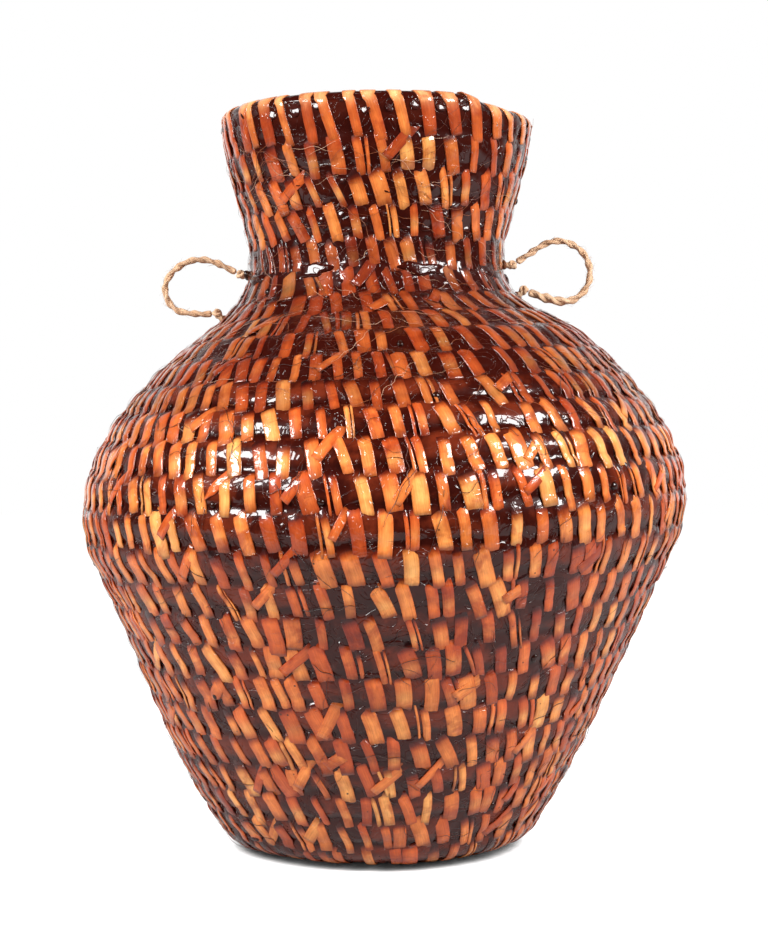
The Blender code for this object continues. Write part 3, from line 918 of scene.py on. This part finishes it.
def loose_ends():
    drawn = rng.random(len(plain)) < LOOSE_SHARE
    drawn[1:] &= ~drawn[:-1]
    turns = plain[drawn & (plain > LOOSE_FROM)][:, None]
    column = turns.shape
    lean = np.radians(rng.uniform(32.0, 62.0, column))
    length = rng.uniform(0.0085, 0.0145, column)
    width = rng.uniform(0.0028, 0.0044, column)
    start = rng.uniform(0.0014, 0.0036, column)
    low = rng.uniform(-0.62, -0.25, column)
    proud = rng.uniform(0.2, 1.0, column)
    t = steps_between(0.0, 1.0, LOOSE_STEPS)
    aside = (start + np.cos(lean) * length * t) / radius_at(turns)
    angle, row = from_spiral(turns, aside, low + np.sin(lean) * length / PITCH * t, 0.0, 0.5)
    lift = SPLINT_THICKNESS * (1.0 + 0.9 * proud * (1 - t) ** 2 - 1.7 * t**3)
    height = skin(angle, row) + lift + 0.3 * groove_depth(row) * (1 - crown(angle, row))
    place, out, _ = on_wall(angle, row, np.minimum(height, LOOSE_TOP))
    pointed = rng.random(column) < POINTED_SHARE
    tip = np.where(pointed, 0.15 + 0.85 * smooth_step(t / 0.3), 0.92 + 0.08 * t)
    tint = splint_colour(rng.beta(2.2, 1.9, column), turns)
    # Tail darkened where it dips into the pitch, partly painted shade.
    tint = blended(tint, THICK_PITCH_AND_SHADE, 0.6 * smooth_step((t - 0.62) / 0.4))
    half = width / 2 * tip
    return strip_object("loose_splint_ends", place, out, half, 0.8 * SPLINT_THICKNESS, tint, SPLINT)


# Fine fibres stuck on the pitch.

FIBRE_STEPS = 16
FIBRE_BEND = 38.0
FIBRE_DEPTH = 1.6


def fibres(name, count, rows, colours, sizes, level=0.0):
    """Hair-thin curved fibres; a level of 1 turns them all to lie nearly along the coils."""
    column = (count, 1)
    turns = rng.uniform(*rows, column)
    angle = rng.uniform(0.0, TAU, column)
    heading = rng.uniform(-1.0, 1.0, column) * math.pi / 2 * (1 - 0.6 * level)
    length = rng.uniform(0.006, 0.024, column)
    bend = rng.normal(0.0, FIBRE_BEND, column)
    sway = rng.uniform(0.1, 0.6, column)
    wave = rng.uniform(0.005, 0.011, column)
    phase = rng.uniform(0.0, TAU, column)
    arch = rng.uniform(0.1, 0.7, column)
    t = steps_between(-0.5, 0.5, FIBRE_STEPS)
    along = t * length
    way = heading + bend * along + sway * np.sin(TAU * along / wave + phase)
    angle = angle + np.cumsum(np.cos(way) * length / FIBRE_STEPS, axis=1) / radius_at(turns)
    row = turns + np.cumsum(np.sin(way) * length / FIBRE_STEPS, axis=1) / PITCH
    row = np.clip(row, 0.2, LAST_ROW - 0.3)
    height = skin(angle, row) + 0.0005 + 0.0007 * arch * (1 - (2 * t) ** 2)
    place, out, _ = on_wall(angle, row, np.minimum(height, 0.0005))
    half = rng.uniform(*sizes, column) * (1 - 0.5 * (2 * t) ** 2)
    tint = np.array(colours)[rng.integers(0, len(colours), column)]
    return strip_object(name, place, out, half, FIBRE_DEPTH * half, tint, FIBRE)


ends_piece = loose_ends()
light_fibres = fibres("light_fibres", 620, (17.5, 28.5),
                      ((0.36, 0.12, 0.05), (0.62, 0.42, 0.30), (0.22, 0.05, 0.02), (0.12, 0.03, 0.014)),
                      (0.00003, 0.000055), 0.7)
dark_fibres = fibres("dark_fibres", 420, (4.5, 20.0),
                     ((0.020, 0.008, 0.006), (0.05, 0.012, 0.007), (0.09, 0.020, 0.009)), (0.00004, 0.00010))
for piece in (ends_piece, light_fibres, dark_fibres):
    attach(piece, "jar")


# Drops, beads, lumps and pools of pitch.

def blob_template(segments=14, rings=9):
    build = bmesh.new()
    bmesh.ops.create_uvsphere(build, u_segments=segments, v_segments=rings, radius=1.0)
    points = np.array([v.co[:] for v in build.verts])
    faces = [[v.index for v in face.verts] for face in build.faces]
    build.free()
    return points, faces


BLOB_POINTS, BLOB_FACES = blob_template()
BLOB_WAVES = 4
BLOB_CROWN = 0.4


def blobs(name, places, frames, sizes, finish, lumpiness):
    """Rounded lumps; each frame is three axes, and each size the lump's reach along them."""
    vertices, faces = [], []
    for k, (place, axes, size) in enumerate(zip(places, frames, sizes)):
        draw = np.random.default_rng(int(rng.integers(0, 1 << 30)))
        swell = np.ones(len(BLOB_POINTS))
        for _ in range(BLOB_WAVES):
            direction = unit(draw.normal(size=3)) * draw.uniform(1.5, 4.0)
            swell += lumpiness / 2 * np.sin(BLOB_POINTS @ direction + draw.uniform(0, TAU))
        local = BLOB_POINTS * swell[:, None] * np.array(size)
        vertices.append(np.array(place) + local @ np.array(axes))
        faces += [[k * len(BLOB_POINTS) + i for i in face] for face in BLOB_FACES]
    vertices = np.vstack(vertices)
    return mesh_object(name, vertices, faces, finish, crown=np.full(len(vertices), BLOB_CROWN))


def upright_frames(out, up):
    return np.stack((np.cross(up, out), up, out), axis=-2)


def sunk_blobs(name, angle, row, depth, sizes, finish, lumpiness):
    """Lumps that stand square on the wall, with their middles a little under its skin."""
    place, out, up = on_wall(angle, row, skin(angle, row) - depth)
    return blobs(name, place, upright_frames(out, up), np.column_stack(sizes), finish, lumpiness)


def drops():
    count = 260
    turns = rng.uniform(4.5, 27.0, count)
    angle = rng.uniform(0.0, TAU, count)
    nearest = np.floor(turns - turn_share(angle)) + 0.5 + turn_share(angle)
    row = np.clip(nearest + row_shift(nearest) + rng.normal(0.0, 0.06, count), 4.0, LAST_ROW - 0.6)
    size = rng.uniform(0.0006, 0.0014, count)
    sizes = (size * rng.uniform(1.0, 3.0, count), size * rng.uniform(0.7, 1.1, count), 0.5 * size)
    return sunk_blobs("pitch_drops", angle, row, 0.0003, sizes, WALL_PITCH, 0.22)


def gap_places(count, first, least_below, most_below):
    """Angles and rows between two neighbouring stitches, from the turn first up."""
    chosen = rng.integers(np.searchsorted(plain, first), len(plain) - 2, count)
    turns = (plain[chosen] + plain[chosen + 1]) / 2
    below = rng.uniform(least_below, most_below, count)
    aside = math.tan(MEAN_SLANT) * PITCH * below / radius_at(turns)
    return from_spiral(turns, aside, -below, 4.0, 0.9)


def pitch_beads():
    """Small dark beads where pitch has run together between two stitches."""
    angle, row = gap_places(60, 4.5, 0.30, 0.46)
    size = rng.uniform(0.0008, 0.0014, len(angle))
    return sunk_blobs("pitch_beads", angle, row, 0.0001, (size, 1.15 * size, 0.8 * size), BEAD_PITCH, 0.12)


LUMP_TURN = radians(26.0)
LUMP_YAW = radians(15.0)


def facing_lumps(name, angle, row, rise, sizes, height, lumpiness):
    """Lumps that face above the level by a mean and spread, turned away from the front and the back."""
    place, out, up = on_wall(angle, row, skin(angle, row) + height)
    tilt = (np.radians(rng.normal(*rise, len(angle))) - np.arcsin(out[:, 2]))[:, None]
    beside = np.arctan2(np.cos(angle), np.abs(np.sin(angle)))
    yaw = np.clip(LUMP_TURN - np.abs(beside), -LUMP_YAW, LUMP_YAW) * np.sign(np.cos(angle))
    yaw = (yaw * np.where(np.sin(angle) < 0.0, 1.0, -1.0))[:, None]
    across = np.cos(yaw) * out + np.sin(yaw) * np.cross(up, out)
    face = np.cos(tilt) * across + np.sin(tilt) * up
    rising = np.cos(tilt) * up - np.sin(tilt) * across
    reach = np.column_stack([rng.uniform(*size, len(angle)) for size in sizes])
    return blobs(name, place, upright_frames(face, rising), reach, WALL_PITCH, lumpiness)


def rim_pitch(turns):
    """Lumps of pitch in the gaps between the rim stitches, each facing a little upwards."""
    middle = (turns[1:] + turns[:-1]) / 2
    middle = middle[rng.random(len(middle)) < 0.8]
    angle = COIL_END_ANGLE + TAU * middle
    row = dome_foot(turn_share(angle)) - rng.uniform(0.06, 0.28, len(middle))
    rise = (row - middle + 0.5 - row_shift(middle) + 0.28) * PITCH
    angle = angle - math.tan(RIM_SLANT) * rise / RIM_RADIUS * 0.9
    row = np.minimum(row, dome_foot(turn_share(angle)) - 0.06)
    sizes = ((0.0015, 0.0021), (0.0014, 0.0021), (0.00012, 0.00018))
    return facing_lumps("rim_pitch", angle, row, (8.5, 2.5), sizes, -0.00002, 0.10)


def neck_lumps():
    """Small lumps of pitch that sagged between the stitches of the neck, facing up."""
    angle, row = gap_places(64, 25.0, -0.15, 0.40)
    sizes = ((0.0010, 0.0017), (0.0009, 0.0015), (0.00013, 0.00022))
    return facing_lumps("neck_pitch_lumps", angle, row, (10.5, 3.0), sizes, -0.00008, 0.15)


POOL_RINGS = np.array((0.0, 0.3, 0.55, 0.74, 0.86, 0.94, 1.0))
POOL_SEGMENTS = 30
POOL_TOP = 0.00022
POOL_DROP = 0.00130
POOL_UNDERSIDE = ((0.85, -0.0021), (0.0, -0.0023))
POOL_WAVES = (2, 3, 5, 7)


def pools(name, places):
    """Flat lumps of pitch that ran together over the stitches, with uneven edges."""
    spin = TAU * np.arange(POOL_SEGMENTS) / POOL_SEGMENTS
    levels = [(share, POOL_TOP - POOL_DROP * share**7) for share in POOL_RINGS] + list(POOL_UNDERSIDE)
    rings = len(levels) - 2
    vertices, faces = [], []
    for angle, row, half_wide, half_tall in places:
        edge = np.ones(POOL_SEGMENTS)
        for wave in POOL_WAVES:
            edge += 0.34 / wave**0.6 * rng.uniform(0.4, 1.0) * np.sin(wave * spin + rng.uniform(0.0, TAU))
        wide = half_wide * edge * np.cos(spin) / radius_at(row)
        tall = half_tall * edge * np.sin(spin) / PITCH
        first = sum(len(part) for part in vertices)
        for share, height in levels:
            points = POOL_SEGMENTS if share else 1
            vertices.append(on_wall(angle + share * wide[:points], row + share * tall[:points], height)[0])
        index = first + 1 + np.arange(rings * POOL_SEGMENTS).reshape(rings, POOL_SEGMENTS)
        last = first + 1 + rings * POOL_SEGMENTS
        faces += fan(first, index[0]) + faces_round(index.T) + fan(last, index[-1])
    vertices = np.vstack(vertices)
    return mesh_object(name, vertices, faces, WALL_PITCH, crown=np.full(len(vertices), INSIDE_CROWN),
                       wet=np.ones(len(vertices)))


drop_piece = drops()
rim_drops = rim_pitch(all_turns[all_turns >= OVERCAST_FROM])
bead_piece = pitch_beads()
# Pools: angle, row, half width and half height; the first two are in the photo, the others all round.
pool_places = [(radians(-117.5), 24.25, 0.0068, 0.0031), (radians(-71.0), 24.30, 0.0076, 0.0032)]
for k in range(7):
    pool_places.append((radians(-30.0 + 38.0 * k) + rng.uniform(-0.15, 0.15), 24.2 + 0.1 * rng.normal(),
                        rng.uniform(0.0040, 0.0070), rng.uniform(0.0022, 0.0030)))
neck_pools = pools("neck_pitch_pools", pool_places)
neck_lump_piece = neck_lumps()
for piece in (drop_piece, rim_drops, bead_piece, neck_pools, neck_lump_piece):
    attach(piece, "jar")


# Lugs.

PLY_RADIUS = 0.00078
PLY_OFFSET = 0.00042
PLY_SIDES = 14
PLY_SPIN = TAU * np.arange(PLY_SIDES) / PLY_SIDES
LAY_LENGTH = 0.0096
FIBRE_LAY = 0.25
ROUTE_STEP = 0.0004
BALL_RADIUS = 0.0016
BALL_GAP = 0.00015
KNOT_SCALE = 0.00034
KNOT_STEPS = 60
KNOT_CORD_RADIUS = 0.00066
TAIL_RADIUS = 0.00105
FUZZ_HALF = 0.000045
FUZZ_COLOUR = np.array((0.72, 0.50, 0.31))


def smooth_route(points, spacing):
    points = np.array(points)
    ends = np.vstack((2 * points[0] - points[1], points, 2 * points[-1] - points[-2]))
    dense = []
    for a, b, c, d in zip(ends, ends[1:], ends[2:], ends[3:]):
        for t in np.linspace(0.0, 1.0, 20, endpoint=False):
            bend = 2 * b + (c - a) * t + (2 * a - 5 * b + 4 * c - d) * t**2 + (3 * b - a - 3 * c + d) * t**3
            dense.append(bend / 2)
    return evenly_spaced(np.array(dense + [points[-1]]), spacing)


def off_bead(place, towards):
    place = np.array(place)
    return place + (BALL_RADIUS + BALL_GAP) * unit(np.array(towards) - place)


def cord_object(name, rods):
    """Rods of cord, each a number, a route, its middle, rays across it, a radius and its unevenness."""
    vertices, faces, fibre = [], [], []
    for number, route, middle, ray, radius, uneven in rods:
        other = np.cross(unit(np.gradient(route, axis=0)), ray)
        spokes = np.cos(PLY_SPIN)[:, None] * ray[:, None] + np.sin(PLY_SPIN)[:, None] * other[:, None]
        tube = middle[:, None] + radius * uneven[..., None] * spokes
        faces += rod_faces(1, len(route), PLY_SIDES, sum(len(part) for part in vertices))
        vertices.append(tube.reshape(-1, 3))
        along = lengths_along(route)[:, None] + 0.0 * PLY_SPIN
        spin = PLY_SPIN + FIBRE_LAY * along / radius
        round_it = (radius * np.cos(spin) + 0.01 * number, along, radius * np.sin(spin))
        fibre.append(np.stack(round_it, axis=-1).reshape(-1, 3))
    return mesh_object(name, np.vstack(vertices), faces, CORD, fibre=np.vstack(fibre))


def twisted_cord(name, route, seed, swell):
    """Two plies wound round the route, each uneven along its length."""
    draw = np.random.default_rng(seed)
    along = unit(np.gradient(route, axis=0))
    side = np.array((0.0, 1.0, 0.0))
    across = unit(np.cross(along, side))
    length = lengths_along(route)
    tip = np.clip(np.minimum(length, length[-1] - length) / 0.0006, 0.0, 1.0)
    shape = np.sqrt(0.12 + 0.88 * (1 - (1 - tip) ** 2))
    shape = shape * (1.0 + swell * bell(length / length[-1], 0.86, 0.12))
    rods = []
    for ply in range(2):
        turn = (TAU * length / LAY_LENGTH + math.pi * ply + draw.uniform(0, 0.5))[:, None]
        uneven = 1.0 + 0.07 * np.sin(length * 900 + draw.uniform(0, 6)) + 0.05 * np.sin(length * 2100 + ply)
        uneven = (uneven * shape)[:, None]
        ray = np.cos(turn) * side + np.sin(turn) * across
        ridged = uneven * (1.0 + 0.05 * np.cos(3 * PLY_SPIN))
        rods.append((ply, route, route + PLY_OFFSET * uneven * ray, ray, PLY_RADIUS, ridged))
    return cord_object(name, rods)


def fuzz(name, route, count, near_end):
    """Short fibres standing off the cord, more of them near its frayed lower end."""
    share = 0.13 + 0.75 * rng.beta(1.0 + near_end, 1.0, count)
    index = (share * (len(route) - 3)).astype(int)
    along = unit(route[index + 1] - route[index - 1])
    ray = unit(np.cross(along, rng.normal(size=(count, 3))))[:, None]
    length = rng.uniform(0.0015, 0.0042, (count, 1, 1))
    bend = unit(rng.normal(size=(count, 3)))[:, None]
    way = (along * np.sign(rng.normal(size=(count, 1))))[:, None]
    t = np.linspace(0.0, 1.0, 8)[None, :, None]
    place = route[index][:, None] + 0.0008 * ray + 0.85 * length * t * way + 0.0010 * t**1.5 * ray
    place = place + 0.0005 * t**2 * bend
    half = FUZZ_HALF * (1 - 0.7 * t[..., 0])
    tint = FUZZ_COLOUR * rng.uniform(0.7, 1.15, (count, 1, 1))
    return strip_object(name, place, np.broadcast_to(ray, place.shape), half, FIBRE_DEPTH * half, tint, FIBRE)


def nearest_row(angle, place):
    rows = np.linspace(18.0, 29.0, 441)
    return float(rows[np.argmin(np.linalg.norm(wall(angle, rows)[0] - place, axis=1))])


def lug_knot(name, place, out, up):
    """A small trefoil of cord round the loop's end, with the short tail that goes into the wall."""
    side = np.cross(up, out)
    t = np.linspace(0.0, TAU, KNOT_STEPS)[:, None]
    flat = (2.0 + np.cos(3 * t)) * (np.cos(2 * t) * up + np.sin(2 * t) * side)
    knot = place + KNOT_SCALE * (flat + 2.7 * np.sin(3 * t) * out)
    tail = place - np.linspace(0.0003, 0.0042, 12)[:, None] * out
    rods = []
    for number, route, radius in ((3.0, knot, KNOT_CORD_RADIUS), (4.0, tail, TAIL_RADIUS)):
        ray = unit(np.cross(unit(np.gradient(route, axis=0)), up + 0.3 * side))
        rods.append((number, route, route, ray, radius, np.ones(1)))
    return cord_object(name, rods)


# The left lug's upper end sits in a bigger, darker lump of pitch than the other ends.
DARK_SEAT = ((0.0017, 0.0018, 0.0018), 0.0001, BEAD_PITCH)
PLAIN_SEAT = ((0.0013, 0.0015, 0.0010), -0.0003, BEAD_CORD)
SEAT_LUMPINESS = 0.20


def lug(side, loop, upper, lower, seed, near_end):
    start, end = off_bead(upper, loop[0]), off_bead(lower, loop[-1])
    route = smooth_route((start, *loop, end), ROUTE_STEP)
    cord = twisted_cord(f"{side}_lug_loop", route, seed, 0.45 * near_end - 0.14)
    hairs = fuzz(f"{side}_lug_fuzz", route, int(60 + 70 * near_end), near_end)
    body = f"{side}_lug"
    for piece in (cord, hairs):
        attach(piece, body)
    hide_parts(f"{side}_lug_cord")
    angle = 0.0 if side == "right" else math.pi
    for place, which in ((upper, "upper"), (lower, "lower")):
        place = np.array(place)
        row = nearest_row(angle, place)
        reach, height, finish = DARK_SEAT if (side, which) == ("left", "upper") else PLAIN_SEAT
        middle, out, up = on_wall(angle, row, height)
        knot = lug_knot(f"{side}_lug_{which}_knot", place, out, up)
        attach(knot, "jar")
        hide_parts(f"{side}_lug_{which}_bead")
        seat = blobs(f"{side}_lug_{which}_seat", [middle], [upright_frames(out, up)], [reach], finish,
                     SEAT_LUMPINESS)
        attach(seat, "jar")


lug("left", LEFT_LOOP, LEFT_UPPER, LEFT_LOWER, 3, 0.3)
lug("right", RIGHT_LOOP, RIGHT_UPPER, RIGHT_LOWER, 4, 1.2)


# Studio: a white table, a white surround, and two softboxes high at the front.

WHITE = (1.0, 1.0, 1.0, 1.0)
TABLE_CORNERS = ((-1.6, -0.27, 0.0), (1.6, -0.27, 0.0), (1.6, 2.2, 0.0), (-1.6, 2.2, 0.0))
TABLE_DROP = 0.0002
TABLE_GLOW = 0.84
SHADOW_REACH = 0.006
SHADOW_SAMPLES = 12
CAMERA_STRENGTH = 1.0
SOFT_STRENGTH = 0.40
SOFTBOX_AZIMUTH = radians(54.0)
SOFTBOX_ELEVATION = radians(30.0)
SOFTBOX_DISTANCE = 1.0
SOFTBOX_AIM = (0.0, 0.0, 0.13)
SOFTBOX_SIZE = (0.42, 0.30)
SOFTBOX_POWER = 12.5


def table():
    """A white table that glows for the camera, with a painted contact shadow, from ambient occlusion, where
    the foot stands on it.
    """
    mesh = bpy.data.meshes.new("table")
    mesh.from_pydata(TABLE_CORNERS, [], [(0, 1, 2, 3)])
    look = Look("table")
    # Painted contact shadow: ambient occlusion darkens the table's colour and its glow under the foot.
    near = look.add("AmbientOcclusion", {"Distance": SHADOW_REACH}, samples=SHADOW_SAMPLES)
    unshadowed_share = look.ramp(near.outputs["AO"], 0.04, 0.46)
    eye = look.add("LightPath").outputs["Is Camera Ray"]
    strength = look.times(look.times(eye, TABLE_GLOW), unshadowed_share)
    glow = look.add("Emission", {"Color": WHITE, "Strength": strength})
    both = look.add("AddShader", {0: look.shader.outputs[0], 1: glow.outputs[0]})
    look.fill(look.surface, {"Surface": both.outputs[0]})
    mesh.materials.append(look.finish({
        "Base Color": look.mix(unshadowed_share, (0.02, 0.015, 0.012), (0.50, 0.50, 0.50)),
        "Roughness": 0.8, "Specular IOR Level": 0.0}))
    made = add_object("table", mesh)
    made.location.z = -TABLE_DROP


def surround():
    """White for the camera; what the gloss mirrors is bright low down behind the jar, and dark in front."""
    world = bpy.data.worlds.new("studio")
    bpy.context.scene.world = world
    sky = Nodes(world)
    ray = sky.add("LightPath").outputs
    way = sky.add("SeparateXYZ", {0: sky.add("TexCoord").outputs["Generated"]}).outputs
    behind = sky.ramp(sky.plus(way["Y"], sky.times(way["X"], 0.12)), 0.25, 0.95, 0.03, 1.0)
    low = sky.ramp(way["Z"], 0.25, 0.75, 1.0, 0.08)
    sharp = sky.math("MAXIMUM", ray["Is Glossy Ray"], ray["Is Transmission Ray"])
    soft = sky.times(sky.minus(1.0, sharp), SOFT_STRENGTH)
    lit = sky.plus(sky.times(sharp, sky.times(behind, low)), soft)
    eye = ray["Is Camera Ray"]
    strength = sky.plus(sky.times(eye, CAMERA_STRENGTH), sky.times(sky.minus(1.0, eye), lit))
    background = sky.add("Background", {"Color": WHITE, "Strength": strength})
    sky.add("OutputWorld", {"Surface": background.outputs[0]})


def softbox(name, azimuth):
    light = bpy.data.lights.new(name, "AREA")
    light.shape = "RECTANGLE"
    light.size, light.size_y = SOFTBOX_SIZE
    light.energy = SOFTBOX_POWER
    lamp = add_object(name, light)
    level = math.cos(SOFTBOX_ELEVATION)
    ray = np.array((math.sin(azimuth) * level, -math.cos(azimuth) * level, math.sin(SOFTBOX_ELEVATION)))
    lamp.location = np.array(SOFTBOX_AIM) + SOFTBOX_DISTANCE * ray
    lamp.rotation_mode = "QUATERNION"
    lamp.rotation_quaternion = Vector(-ray).to_track_quat("-Z", "Y")


table()
surround()
softbox("softbox_left", -SOFTBOX_AZIMUTH)
softbox("softbox_right", SOFTBOX_AZIMUTH)
bpy.context.scene.view_settings.view_transform = "Standard"
